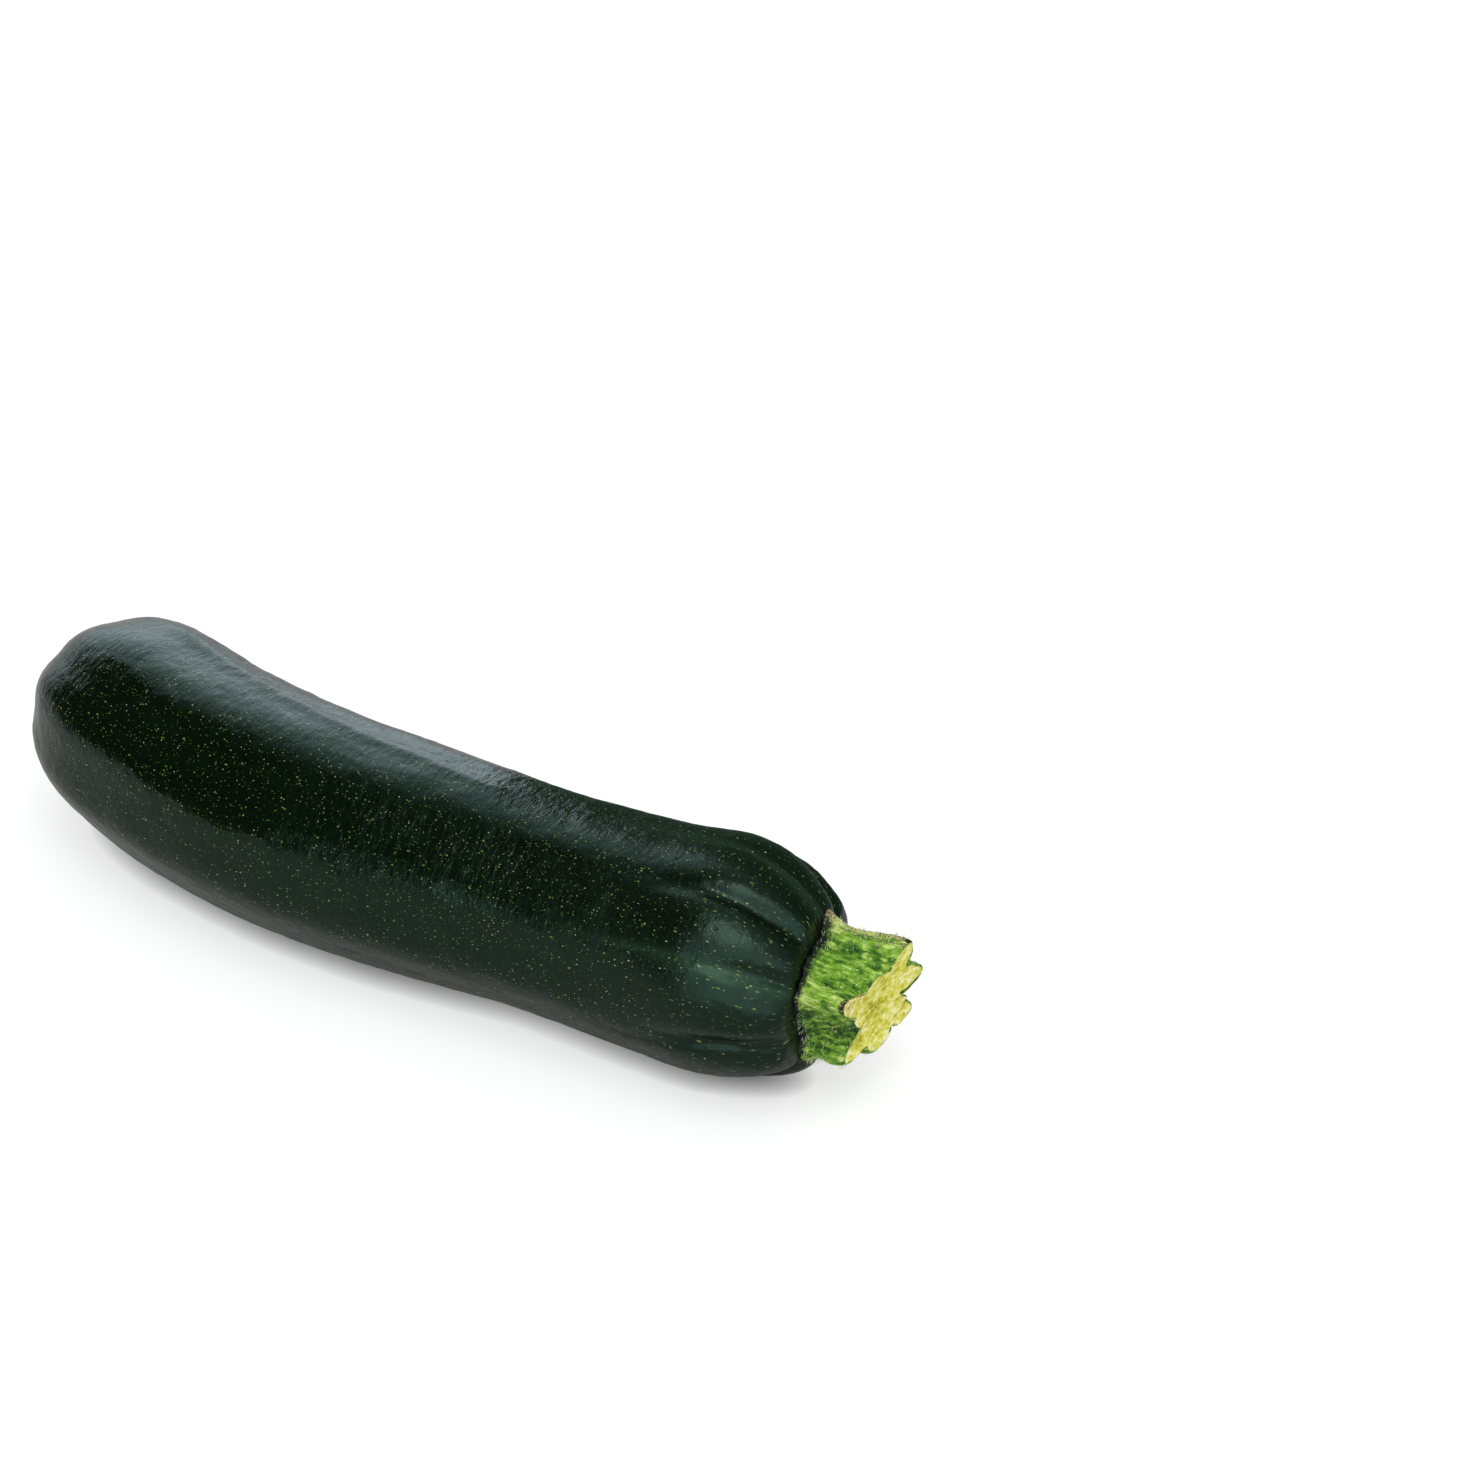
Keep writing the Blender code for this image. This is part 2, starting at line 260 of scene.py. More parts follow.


# %% [markdown]
# ## Modelling a straight piece ring by ring
# Fruit, stem and scar are all round, so each starts as a filled circle. In edit mode its face is
# extruded and scaled, ring after ring, the way one draws out a vase. A Screw modifier on a
# profile would do too. Extruding keeps even quads all the way, which the Subdivision Surface
# modifier then smooths and makes dense enough to carry wrinkles.

# %% Extrude a circle, ring by ring
def draw_out(name, rings, sides, levels):
    """A closed straight piece along X from (x, radius) rings, subdivided."""
    bpy.ops.object.select_all(action="DESELECT")
    (x, radius), *following = rings
    bpy.ops.mesh.primitive_circle_add(
        vertices=sides, radius=radius, fill_type="NGON", location=(x, 0, 0), rotation=(0, math.pi / 2, 0)
    )
    piece = bpy.context.object
    piece.name = piece.data.name = name
    bpy.ops.object.transform_apply(location=True, rotation=True, scale=True)
    bpy.ops.object.mode_set(mode="EDIT")
    bpy.ops.mesh.select_mode(type="FACE")
    bpy.ops.mesh.select_all(action="SELECT")
    for next_x, next_radius in following:
        bpy.ops.mesh.extrude_region_move(TRANSFORM_OT_translate={"value": (next_x - x, 0, 0)})
        scale = next_radius / radius
        bpy.ops.transform.resize(value=(1, scale, scale), center_override=(next_x, 0, 0))
        x, radius = next_x, next_radius
    bpy.ops.mesh.select_all(action="SELECT")
    bpy.ops.mesh.normals_make_consistent(inside=False)
    bpy.ops.object.mode_set(mode="OBJECT")
    if levels:
        smooth = piece.modifiers.new("smooth", "SUBSURF")
        smooth.levels = smooth.render_levels = levels
        bpy.ops.object.modifier_apply(modifier=smooth.name)
    bpy.ops.object.shade_smooth()
    print(name, "has", len(piece.data.polygons), "faces")
    return piece


# %% Read and write a piece's points
def read_points(piece):
    flat = np.empty(len(piece.data.vertices) * 3)
    piece.data.vertices.foreach_get("co", flat)
    return flat.reshape(-1, 3)


def write_points(piece, points):
    piece.data.vertices.foreach_set("co", points.ravel())
    piece.data.update()


def straight_places(piece):
    """Each point's place along the axis, its radius and its angle in radians."""
    x, y, z = read_points(piece).T
    return x, np.hypot(y, z), np.arctan2(z, -y)


def keep_for_material(piece, name, kind, values):
    """Stores a value for each point, which a material reads with an Attribute node."""
    stored = piece.data.attributes.new(name, kind, "POINT")
    stored.data.foreach_set("vector" if kind == "FLOAT_VECTOR" else "value", np.ravel(values))


# %% [markdown]
# ## The fruit
# The skin needs a point about every half millimetre, so that the pebbled surface that breaks up
# its reflections is real relief. We draw the fruit out straight in 68 rings of 80 points, closer
# together where its ends curve, and subdivide twice.

# %% Draw out the straight fruit
FRUIT_SIDES, BLOSSOM_RINGS, BODY_RINGS, SHOULDER_RINGS = 80, 13, 36, 14
quarter = math.pi / 2
blossom_rings = [BLOSSOM_CAP * (1 - math.cos(quarter * i / BLOSSOM_RINGS)) for i in range(1, BLOSSOM_RINGS)]
body_rings = list(np.linspace(BLOSSOM_CAP, FRUIT_LENGTH - STEM_CAP, BODY_RINGS, endpoint=False))
from_seat = [1 - math.sin(quarter * i / SHOULDER_RINGS) for i in range(SHOULDER_RINGS + 1)]
shoulder_rings = [FRUIT_LENGTH - STEM_CAP * away for away in from_seat]
fruit_rings = [(x, float(fruit_radius(x))) for x in blossom_rings + body_rings + shoulder_rings]
tip_x, tip_radius = fruit_rings[0]
fruit_rings = (
    [(tip_x, tip_radius * share) for share in (0.3, 0.7)]
    + fruit_rings
    + [(FRUIT_LENGTH, SEAT_RADIUS * share) for share in (0.92, 0.6, 0.25)]
)
fruit = draw_out("fruit_skin", fruit_rings, FRUIT_SIDES, levels=2)

# %% [markdown]
# While the fruit is still straight we press in its ribs and keep two values for each point: its
# straight place, so that a pattern can follow the skin round the bend with no seam, and how near
# it is to a ridge, because a paler green is painted on the ridges as a highlight, for the light they catch.

# %% Ribs on the straight fruit
PATTERN_RADIUS, PATTERN_MARGIN, PATTERN_STEPS = 23 * MM, 5 * MM, 400
DASHES_FROM, DASH_STRETCH, SEAT_STRETCH = 125 * MM, 0.5, 0.4
RIDGE_HIGHLIGHT_HALF_WIDTH = 4


def pattern_run(x):
    """Distance along the fruit for its pattern, slower near the stem, so flecks turn to dashes."""
    steps = np.linspace(-PATTERN_MARGIN, FRUIT_LENGTH + PATTERN_MARGIN, PATTERN_STEPS)
    pace = 1 - (1 - DASH_STRETCH) * smoothstep((steps - DASHES_FROM) / (FRUIT_LENGTH - DASHES_FROM))
    return np.interp(x, steps, np.cumsum(pace) * (steps[1] - steps[0]))


x, radius, angle = straight_places(fruit)
degrees = np.degrees(angle)
near_seat = smoothstep(1 - (FRUIT_LENGTH - x) / SEAT_LEAN_LENGTH)
lean = seat_lean(radius, degrees) * near_seat
inside_seat = (SEAT_RADIUS - np.minimum(radius, SEAT_RADIUS)) * (x > FRUIT_LENGTH / 2)
run = pattern_run(x) + SEAT_STRETCH * inside_seat
wrapped = np.stack([run, PATTERN_RADIUS * np.cos(angle), PATTERN_RADIUS * np.sin(angle)], axis=1)
radius = ribbed(x, radius, degrees)
write_points(fruit, np.stack([x, -radius * np.cos(angle), radius * np.sin(angle)], axis=1))
keep_for_material(fruit, "wrapped", "FLOAT_VECTOR", wrapped)
# How near each point is to a ridge: the material paints a paler green there as a highlight.
keep_for_material(fruit, "ridge", "FLOAT", ridge_share(degrees, RIDGE_HIGHLIGHT_HALF_WIDTH) * near_stem(x))
print("ribs reach", round(GROOVE_LENGTH / MM), "mm from the stem")

# %% [markdown]
# The real skin is not smooth: it has shallow hollows over a centimetre across, swellings of half
# a centimetre, and a pebbled grain of one to two millimetres. A Displace modifier with a Clouds
# texture makes each, at its real size. Sculpting would do for the hollows, but not for so much
# grain. All three only press inwards, with the mid level at 1, so the fruit never outgrows its
# solid.


# %% Uneven relief
def press_in(piece, name, size, depth, noise_depth):
    """Relief no deeper than `depth`, with lumps about `size` across."""
    clouds = bpy.data.textures.new(name, "CLOUDS")
    clouds.noise_scale = size
    clouds.noise_depth = noise_depth
    relief = piece.modifiers.new(name, "DISPLACE")
    relief.texture = clouds
    relief.texture_coords = "LOCAL"
    relief.strength = depth
    relief.mid_level = 1.0
    bpy.context.view_layer.objects.active = piece
    bpy.ops.object.modifier_apply(modifier=relief.name)
    print(name, "presses in up to", round(depth / MM, 2), "mm")


FRUIT_RELIEF = (
    ("slow hollows", 14 * MM, 0.55 * MM, 1),
    ("uneven swelling", 5 * MM, 0.22 * MM, 1),
    ("pebbled grain", 1.6 * MM, 0.16 * MM, 2),
)
for relief_row in FRUIT_RELIEF:
    press_in(fruit, *relief_row)

# %% [markdown]
# Now the fruit is bent. Where it would sink into the floor it is flattened, as its own weight
# flattens it. Its middle then moves to the middle of the solid, and it takes the solid's place.

# %% Bend the fruit and lay it down
x, radius, angle = straight_places(fruit)
laid = bend(x - lean, radius, angle)
laid[:, 2] = np.maximum(0, laid[:, 2])
box_low, box_high = (np.array(corner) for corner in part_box("fruit"))
to_frame = (box_low + box_high) / 2 - (laid.min(axis=0) + laid.max(axis=0)) / 2
to_frame[2] = 0
write_points(fruit, laid + to_frame)
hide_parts("fruit")
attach(fruit, "root")
print("shift into the part's frame, in mm:", np.round(to_frame / MM, 2))

# %% [markdown]
# ## The stem
# The stalk of a zucchini is five-cornered. Cut across, it is a star with two or three extra
# lobes, paler and wet inside, under a hard rind. The notches are sharp and the lobes round, so
# the outline is a short list of lobes and notches joined by a curve that stays near its lobe. A
# drawn Bezier outline would do too, but the rind and the prickles need its radius at any angle.

# %% The star of the cut
STEM_LENGTH, STEM_RADIUS = 11.7 * MM, 13.0 * MM
STEM_GAP = 0.3 * MM
# Lobes and notches in turn round the cut: degrees, and reach as a share of the radius
CUT_STAR = (
    (34, 1.12),
    (50, 0.71),
    (66, 0.77),
    (92, 0.69),
    (111, 1.08),
    (130, 0.66),
    (150, 0.76),
    (170, 0.88),
    (185, 0.42),
    (203, 0.66),
    (217, 1.00),
    (229, 0.97),
    (239, 0.74),
    (248, 0.92),
    (261, 0.98),
    (281, 0.72),
    (308, 0.96),
    (334, 0.42),
    (372, 0.58),
)
# The stem's outline from the side: how far from base to cut, and share of the radius
STEM_SIDE = ((0, 1.11), (0.12, 1.06), (0.3, 1.01), (0.5, 1.02), (0.7, 1.05), (0.88, 1.06), (1, 1.0))
LOBE_FULLNESS, BASE_HOLLOWS = 0.6, 0.40
STEM_RISE, CUT_SLANT_SIDE, CUT_SLANT_UP, CUT_DISH = 0.06, -0.27, 0.17, 1.0 * MM


def star(degrees):
    """The cut's radius at an angle, as a share of the stem's radius."""
    at = np.array([a for a, _ in CUT_STAR] + [CUT_STAR[0][0] + 360], dtype=float)
    reach = np.array([r for _, r in CUT_STAR] + [CUT_STAR[0][1]])
    degrees = np.mod(degrees - at[0], 360) + at[0]
    which = np.clip(np.searchsorted(at, degrees, side="right") - 1, 0, len(CUT_STAR) - 1)
    climb = (degrees - at[which]) / (at[which + 1] - at[which])
    start, end = reach[which], reach[which + 1]
    climb = smoothstep(np.where(end > start, climb, 1 - climb)) ** LOBE_FULLNESS
    return np.minimum(start, end) + np.abs(end - start) * climb


print("lobes of the star:", sum(reach > 0.9 for _, reach in CUT_STAR))

# %% [markdown]
# The stem is drawn out as a plain peg first. Its rings are named by how far they are from base
# (0) to cut (1), and the cut's own rings lie inside the edge. The peg is then swelled into the
# star, and its end slanted. Its base is pushed nearly a millimetre into the fruit and its foot is
# ragged, so that no gap and no clean seam shows where the two grow together.

# %% Draw out the peg and swell it into the star
SUNK, PEG_SIDES, SIDE_RINGS, CUT_RINGS = 0.8 * MM, 96, 13, 9
CUT_START, CUT_BLEND, CUT_EDGE, CUT_STEP = 0.996, 0.008, 0.965, 0.01
FOOT_LENGTH, RAGGED_LENGTH = 0.30, 0.35
RAGGED_WAVES = ((0.05, 7, 1), (0.035, 13, 2), (0.025, 29, 0))
DRY_CREST, CREST_HALF_WIDTH = 111, 11
BROWNED_LOBE, BROWNED_HALF_WIDTH = 34, 22
side_at = [at for at, _ in STEM_SIDE]
side_share = [share for _, share in STEM_SIDE]
peg_rings = [(0, 0.4), (0, 0.85)]
for at in np.linspace(0, 1, SIDE_RINGS):
    peg_rings.append((float(at), float(np.interp(at, side_at, side_share))))
peg_rings[-1:] = [(0.985, 1.02), (1.0, CUT_EDGE)]
peg_rings += [(1 + CUT_STEP * i, CUT_EDGE * (1 - i / CUT_RINGS)) for i in range(1, CUT_RINGS)]
stem = draw_out("stem_rind", peg_rings, PEG_SIDES, levels=2)
along, share, angle = straight_places(stem)
degrees = np.degrees(angle)
inside = smoothstep((along - CUT_START) / CUT_BLEND)
along = np.minimum(along, 1)
hollows = BASE_HOLLOWS + (1 - BASE_HOLLOWS) * along
radius = STEM_RADIUS * share * (1 - hollows * (1 - star(degrees)))
ragged = sum(size * np.sin(waves * angle + start) for size, waves, start in RAGGED_WAVES)
radius = radius * (1 + ragged * (1 - smoothstep(along / RAGGED_LENGTH)))
slant = CUT_SLANT_SIDE * np.cos(angle) + CUT_SLANT_UP * np.sin(angle)
dish = CUT_DISH * np.clip(1 - share**2, 0, 1) * inside
length = (STEM_LENGTH + slant * radius - dish) * along
length -= (STEM_GAP + SUNK) * (1 - along)
lean = seat_lean(radius, degrees) * (1 - along)
write_points(stem, np.stack([length, -radius * np.cos(angle), radius * np.sin(angle)], axis=1))

# %% [markdown]
# The rind's colours follow its form: a painted shade darkens the hollows, it is dark at the foot,
# corky along one crest and brown where the cut dried. So each point keeps its place and six shares between
# 0 and 1.

# %% Values that the stem's material reads
unbent = np.stack([length, radius * np.cos(angle), radius * np.sin(angle)], axis=1)
by_edge = smoothstep((along - 0.75) / 0.2)
dry_crest = hump(past(degrees, DRY_CREST), 0, CREST_HALF_WIDTH)
browned_lobe = hump(past(degrees, BROWNED_LOBE), 0, BROWNED_HALF_WIDTH)
browned_lobe = browned_lobe * smoothstep((share - 0.35) / 0.4)
keep_for_material(stem, "unbent", "FLOAT_VECTOR", unbent)
keep_for_material(stem, "cut", "FLOAT", inside)
# How deep in a hollow each point lies. The material uses it to darken the hollows as painted shade.
keep_for_material(stem, "hollow", "FLOAT", 1 - star(degrees))
keep_for_material(stem, "foot", "FLOAT", 1 - smoothstep(along / FOOT_LENGTH))
keep_for_material(stem, "crest", "FLOAT", dry_crest)
keep_for_material(stem, "burn", "FLOAT", by_edge * np.maximum(browned_lobe, dry_crest * (1 - inside)))
keep_for_material(stem, "reach", "FLOAT", share)
press_in(stem, "uneven rind", 3 * MM, 0.5 * MM, 2)
press_in(stem, "rind grain", 0.9 * MM, 0.18 * MM, 2)

# %% Set the stem on the fruit's curved end
length, radius, angle = straight_places(stem)
stem_points = bend(FRUIT_LENGTH + STEM_GAP + length - lean, radius, angle)
stem_points[:, 2] += STEM_RISE * length
write_points(stem, stem_points + to_frame)
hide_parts("stem")
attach(stem, "root")
print("stem points:", len(stem_points))

# %% [markdown]
# ## The blossom scar
# At the other end the flower has dried off and left a corky button with a raised rim, a hollow
# and a stub of the old style in the middle. It is drawn out ring by ring like the fruit: the
# rings run out over the rim, back into the hollow and out again on the stub. Waves round it make
# the rim uneven and crack it.

# %% Draw out the scar
SCAR_RADIUS, SCAR_THICKNESS, SCAR_SIDES = 4.3 * MM, 1.2 * MM, 48
CRACK_DEPTH, CRACK_SHARPNESS = 0.20, 0.35
# Each ring: its depth and its radius, as shares of the scar's
SCAR_PROFILE = (
    (-0.6, 0.75),
    (0.0, 0.92),
    (0.25, 0.98),
    (0.55, 1.0),
    (0.85, 0.92),
    (1.0, 0.78),
    (0.92, 0.62),
    (0.62, 0.48),
    (0.50, 0.34),
    (0.55, 0.22),
    (0.80, 0.16),
    (0.92, 0.08),
)
scar_rings = [(depth * SCAR_THICKNESS, share * SCAR_RADIUS) for depth, share in SCAR_PROFILE]
scar = draw_out("dry_blossom_scar", scar_rings, SCAR_SIDES, levels=2)
depth, radius, angle = straight_places(scar)
keep_for_material(scar, "unbent", "FLOAT_VECTOR", read_points(scar))
radius = radius * (1 + 0.06 * np.sin(5 * angle) + 0.04 * np.cos(3 * angle))
cracks = np.abs(np.sin(5.5 * angle + 0.6 * np.sin(3 * angle))) ** CRACK_SHARPNESS
depth = np.where(depth > 0, depth * (1 - CRACK_DEPTH + CRACK_DEPTH * cracks), depth)
write_points(scar, np.stack([depth, -radius * np.cos(angle), radius * np.sin(angle)], axis=1))
press_in(scar, "cork crumbs", 0.9 * MM, 0.22 * MM, 2)
depth, radius, angle = straight_places(scar)
scar_points = bend(tip_x - STEM_GAP - depth, radius, angle)
write_points(scar, scar_points + to_frame)
scar.data.flip_normals()
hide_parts("blossom_scar")
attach(scar, "root")
print("the scar starts", round(tip_x / MM, 2), "mm from the fruit's far end")

# %% [markdown]
# ## Prickles on the stem
# The stalk's ridges carry stiff pale hairs, and a ring of them stands where it joins the fruit.
# Hair curves would be the usual way, but an export drops them. So one prickle is modelled once, a
# thin cone, and copied to seeded places on the rind, pointing out of it and leaning to the cut.

# %% One prickle
bpy.ops.object.select_all(action="DESELECT")
PRICKLE_RADIUS, PRICKLE_POINT, PRICKLE_LENGTH = 0.08 * MM, 0.012 * MM, 1.3 * MM
PRICKLE_LIFT = 0.4 * MM
bpy.ops.mesh.primitive_cone_add(
    vertices=5, radius1=PRICKLE_RADIUS, radius2=PRICKLE_POINT, depth=PRICKLE_LENGTH
)
prickle = bpy.context.object
bpy.ops.object.mode_set(mode="EDIT")
bpy.ops.mesh.select_all(action="SELECT")
bpy.ops.transform.translate(value=(0, 0, PRICKLE_LIFT))
bpy.ops.object.mode_set(mode="OBJECT")
prickle_points = read_points(prickle)
prickle_faces = [list(face.vertices) for face in prickle.data.polygons]
bpy.data.objects.remove(prickle)
print("a prickle has", len(prickle_faces), "faces")


# %% Where prickles grow
ON_RIND, ON_LOBE, AT_FOOT = 0.06, 0.25, 0.7
FOOT_END, CUT_MARGIN, LOBE_FROM, CREST_PRICKLES = 0.12, 0.97, 0.8, 9


def prickle_places(count):
    """Seeded (along, angle, length) rows: most on the ridges, many at the foot of the stem."""
    rows = []
    while len(rows) < count:
        along = chance.random()
        degrees = chance.uniform(0, 360)
        on_lobe = max(0, float(star(np.array([degrees]))[0]) - LOBE_FROM) / (1 - LOBE_FROM)
        on_crest = float(hump(past(degrees, DRY_CREST), 0, CREST_PRICKLES))
        wanted = ON_RIND + ON_LOBE * on_lobe + AT_FOOT * (along < FOOT_END) + on_crest
        if chance.random() < wanted and along < CUT_MARGIN:
            rows.append((along, degrees, chance.uniform(0.4, 1.0)))
    return rows


def rind_point(along, degrees, lift=0.0):
    """A point on the rind, or `lift` outside it."""
    angle = np.radians(np.array([degrees]))
    at = np.array([along])
    share = np.interp(at, side_at, side_share)
    hollows = BASE_HOLLOWS + (1 - BASE_HOLLOWS) * at
    radius = STEM_RADIUS * share * (1 - hollows * (1 - star(np.degrees(angle)))) + lift
    slant = CUT_SLANT_SIDE * np.cos(angle) + CUT_SLANT_UP * np.sin(angle)
    length = (STEM_LENGTH + slant * radius) * at
    lean = seat_lean(radius, np.degrees(angle)) * (1 - at)
    point = bend(FRUIT_LENGTH + STEM_GAP + length - lean, radius, angle)
    point[:, 2] += STEM_RISE * length
    return Vector((point + to_frame)[0])


# %% Plant the prickles
PRICKLES, PRICKLE_ROOT, PRICKLE_LEAN = 520, 0.35 * MM, 0.5
points, faces = [], []
for along, degrees, length in prickle_places(PRICKLES):
    foot = rind_point(along, degrees, -PRICKLE_ROOT)
    out = (rind_point(along, degrees, 1 * MM) - foot).normalized()
    to_cut = (rind_point(min(1, along + 0.1), degrees) - rind_point(along, degrees)).normalized()
    out = (out + PRICKLE_LEAN * to_cut * chance.uniform(-0.2, 1.2)).normalized()
    turn = Vector((0, 0, 1)).rotation_difference(out)
    start = len(points)
    points += [foot + turn @ (Vector(p) * length) for p in prickle_points]
    faces += [[start + corner for corner in face] for face in prickle_faces]
prickle_mesh = bpy.data.meshes.new("stem_prickles")
prickle_mesh.from_pydata(points, [], faces)
prickles = bpy.data.objects.new("stem_prickles", prickle_mesh)
bpy.context.scene.collection.objects.link(prickles)
prickle_mesh.shade_smooth()
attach(prickles, "root")
print("prickles:", len(faces) // len(prickle_faces))

# %% [markdown]
# ## Finishes
# All finishes are node materials. Their colours are written as the sRGB hex values that a
# painter would pick, so one function turns them to the linear values that the shader needs, and
# one function adds a node with its settings and its links. The other helpers build on that one.

# %% Colour and node helpers
def colour(hex_value):
    """Linear RGBA from an sRGB hex value."""
    parts = [int(hex_value[i : i + 2], 16) / 255 for i in (1, 3, 5)]
    linear = [c / 12.92 if c <= 0.04045 else ((c + 0.055) / 1.055) ** 2.4 for c in parts]
    return (*linear, 1)


def add(tree, kind, settings=(), inputs=()):
    """Adds a node, sets its properties, then its inputs by value or by link from a socket."""
    node = tree.nodes.new(kind)
    for name, value in dict(settings).items():
        setattr(node, name, value)
    for name, value in dict(inputs).items():
        if isinstance(value, bpy.types.NodeSocket):
            tree.links.new(value, node.inputs[name])
        else:
            node.inputs[name].default_value = value
    return node


def new_finish(name):
    """A new material with its node tree and its main shader."""
    finish = bpy.data.materials.new(name)
    finish.use_nodes = True
    return finish, finish.node_tree, finish.node_tree.nodes["Principled BSDF"]


def set_matt(shader, shade):
    """One plain colour with no shine."""
    shader.inputs["Base Color"].default_value = shade
    shader.inputs["Roughness"].default_value = 1.0
    shader.inputs["Specular IOR Level"].default_value = 0.0


def paint(piece, finish):
    """Gives the piece this material and no other."""
    piece.data.materials.clear()
    piece.data.materials.append(finish)
    print(piece.name, "wears", finish.name, "made of", len(finish.node_tree.nodes), "nodes")


# %% Helpers for sums, mixes and ramps
def reckon(tree, operation, *values):
    """One Math node on numbers or sockets."""
    return add(tree, "ShaderNodeMath", {"operation": operation}, dict(enumerate(values))).outputs[0]


def sum_of(tree, a, factor, b):
    """a * factor + b"""
    return reckon(tree, "MULTIPLY_ADD", a, factor, b)


def remap(tree, value, start, end, low=0, high=1, kind="LINEAR"):
    """`low` at `start`, `high` at `end`, and held at both beyond."""
    sockets = {"Value": value, "From Min": start, "From Max": end, "To Min": low, "To Max": high}
    return add(tree, "ShaderNodeMapRange", {"interpolation_type": kind}, sockets).outputs[0]


def blend(tree, share, low, high):
    """Mixes two colours, each a value or a socket."""
    mixed = add(tree, "ShaderNodeMix", {"data_type": "RGBA"}, {0: share, 6: low, 7: high})
    return mixed.outputs[2]


def shades_of(tree, value, stops):
    """A colour ramp from (position, sRGB hex) stops."""
    shades = add(tree, "ShaderNodeValToRGB", {}, {0: value})
    elements = shades.color_ramp.elements
    while len(elements) < len(stops):
        elements.new(0.5)
    for element, (at, shade) in zip(elements, stops):
        element.position, element.color = at, colour(shade)
    return shades.outputs[0]


# %% Helpers for places, noise, flecks and bumps
EVEN = (1, 1, 1)


def stored_value(tree, name):
    """A value that the modelling kept for each point."""
    return add(tree, "ShaderNodeAttribute", {"attribute_name": name}).outputs["Fac"]


def in_millimetres(tree, name):
    """A place that the modelling kept for each point, in millimetres."""
    stored = add(tree, "ShaderNodeAttribute", {"attribute_name": name}).outputs["Vector"]
    return add(tree, "ShaderNodeVectorMath", {"operation": "SCALE"}, {0: stored, "Scale": 1000}).outputs[0]


def noise_of(tree, place, stretch, scale, detail, roughness=0.5, distortion=0.0):
    """Noise with `scale` lumps to a millimetre; a stretch below 1 draws it out along that axis."""
    laid = add(tree, "ShaderNodeMapping", {}, {"Vector": place, "Scale": stretch}).outputs[0]
    looks = {"Scale": scale, "Detail": detail, "Roughness": roughness, "Distortion": distortion}
    return add(tree, "ShaderNodeTexNoise", {}, {"Vector": laid, **looks})


def flecks(tree, place, under, spacing, size, stretch, shades, share, offset):
    """Lays flecks `size` mm across, `spacing` mm apart, over the colour `under`."""
    sockets = {"Vector": place, "Location": offset, "Scale": (stretch, 1, 1)}
    laid = add(tree, "ShaderNodeMapping", {}, sockets).outputs[0]
    cells = add(tree, "ShaderNodeTexVoronoi", {}, {"Vector": laid, "Scale": 1 / spacing})
    radius = size / spacing / 2
    spot = remap(tree, cells.outputs["Distance"], radius, radius * 0.4, kind="SMOOTHSTEP")
    draw = add(tree, "ShaderNodeSeparateColor", {}, {0: cells.outputs["Color"]})
    kept = remap(tree, draw.outputs[0], 1 - share, 1)
    strength = reckon(tree, "MULTIPLY", spot, kept)
    return blend(tree, strength, under, blend(tree, draw.outputs[1], *shades))


def bumped(tree, height, strength, distance, under=None):
    """A bump up to `distance` deep, laid over another one where `under` gives it."""
    sockets = {"Height": height, "Strength": strength, "Distance": distance}
    if under:
        sockets["Normal"] = under
    return add(tree, "ShaderNodeBump", {}, sockets).outputs[0]


# %% [markdown]
# ### The waxy skin
# Zucchini skin is almost black-green, under a thin clear wax. So nearly all that the eye sees on
# it is reflection, soft and broken by the pebbled grain, plus a scatter of flecks: pores that
# never turned green, a quarter to half a millimetre across. A Voronoi texture in millimetres
# gives one fleck for each cell, and its random colour chooses which are bright, dull or missing.
# Three such layers, half a millimetre to a millimetre apart, give small, middling and large
# flecks. Near the stem they stretch into dashes, and there the wax is duller.

# %% Skin: two greens, in slow streaks along the fruit, and a painted highlight on the ridges
skin, tree, shader = new_finish("waxy zucchini skin")
place = in_millimetres(tree, "wrapped")
DEEP_GREEN, LEAF_GREEN, RIDGE_HIGHLIGHT_GREEN = colour("#020602"), colour("#071306"), colour("#26402A")
streaks = noise_of(tree, place, (0.2, 1, 1), 0.45, 4, 0.6).outputs["Fac"]
green = blend(tree, streaks, DEEP_GREEN, LEAF_GREEN)
# Painted highlight: near the stem the ridges are tinted a paler, bluish green, for the light their crowns
# catch.
skin_colour = blend(tree, reckon(tree, "MULTIPLY", stored_value(tree, "ridge"), 0.4), green, RIDGE_HIGHLIGHT_GREEN)

# %% Skin: flecks, nudged about so that they are not quite round
YELLOW_GREEN, PALE_FLECK, DULL_GREEN = colour("#7E8C34"), colour("#A9A97C"), colour("#3F6B1C")
wobble = noise_of(tree, place, EVEN, 3.0, 1).outputs["Color"]
NUDGE = (0.25, 0.25, 0.25)
nudged = add(
    tree, "ShaderNodeVectorMath", {"operation": "MULTIPLY_ADD"}, {0: wobble, 1: NUDGE, 2: place}
).outputs[0]
# Each layer: spacing and size in mm, stretch, two shades, share that shows, offset
FLECK_LAYERS = (
    (0.46, 0.20, 0.7, (DULL_GREEN, YELLOW_GREEN), 0.55, (17, 5, 11)),
    (0.68, 0.26, 0.7, (YELLOW_GREEN, PALE_FLECK), 0.75, (0, 0, 0)),
    (1.20, 0.38, 0.6, (DULL_GREEN, YELLOW_GREEN), 0.7, (31, 7, 3)),
)
for layer in FLECK_LAYERS:
    skin_colour = flecks(tree, nudged, skin_colour, *layer)
tree.links.new(skin_colour, shader.inputs["Base Color"])
print("layers of flecks:", len(FLECK_LAYERS))

